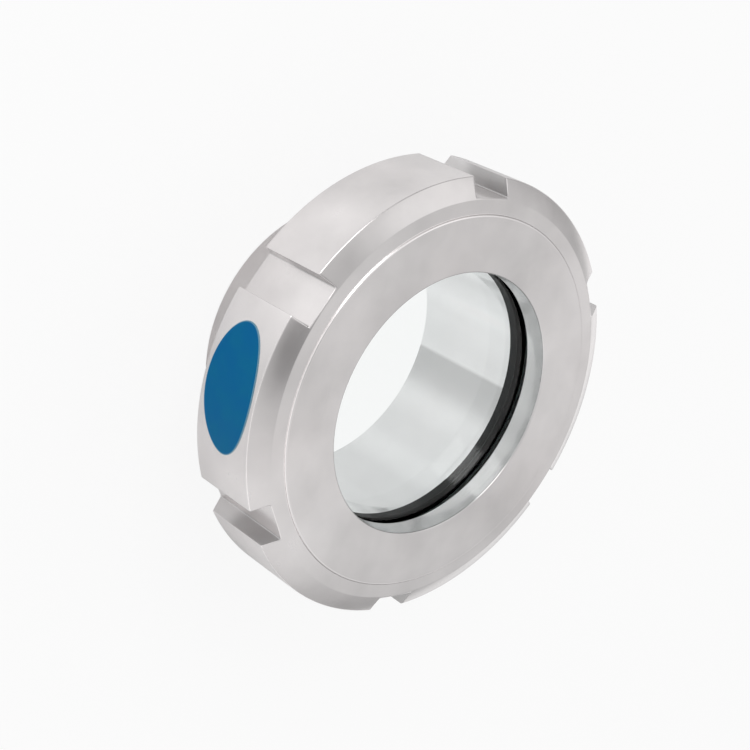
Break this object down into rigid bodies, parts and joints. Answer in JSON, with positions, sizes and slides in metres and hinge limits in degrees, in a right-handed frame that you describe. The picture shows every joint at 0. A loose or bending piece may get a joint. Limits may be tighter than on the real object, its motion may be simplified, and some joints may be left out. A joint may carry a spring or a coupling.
{
  "type": "union sight glass",
  "caption": "Union sight glass: a round slotted nut clamps a toughened glass disc between gaskets onto a threaded body with a plain weld end.",
  "frame": {"origin": "centre of the weld end's face, on the axis", "axes": "+Z along the axis, out of the window; one spanner slot is on +X; the label is near -Y"},
  "size_m": [0.1116, 0.1122, 0.0475],
  "materials": {
    "body_steel": "turned stainless steel",
    "nut_steel": "satin stainless steel",
    "toughened_glass": "clear toughened glass, ground rim",
    "gasket_rubber": "black gasket rubber",
    "label_blue": "bare blue label film"
  },
  "bodies": {
    "root": {"threaded_body": "body_steel", "slotted_nut": "nut_steel", "glass_disc": "toughened_glass", "rear_gasket": "gasket_rubber", "front_gasket": "gasket_rubber", "oval_label": "label_blue"}
  },
  "joints": []
}
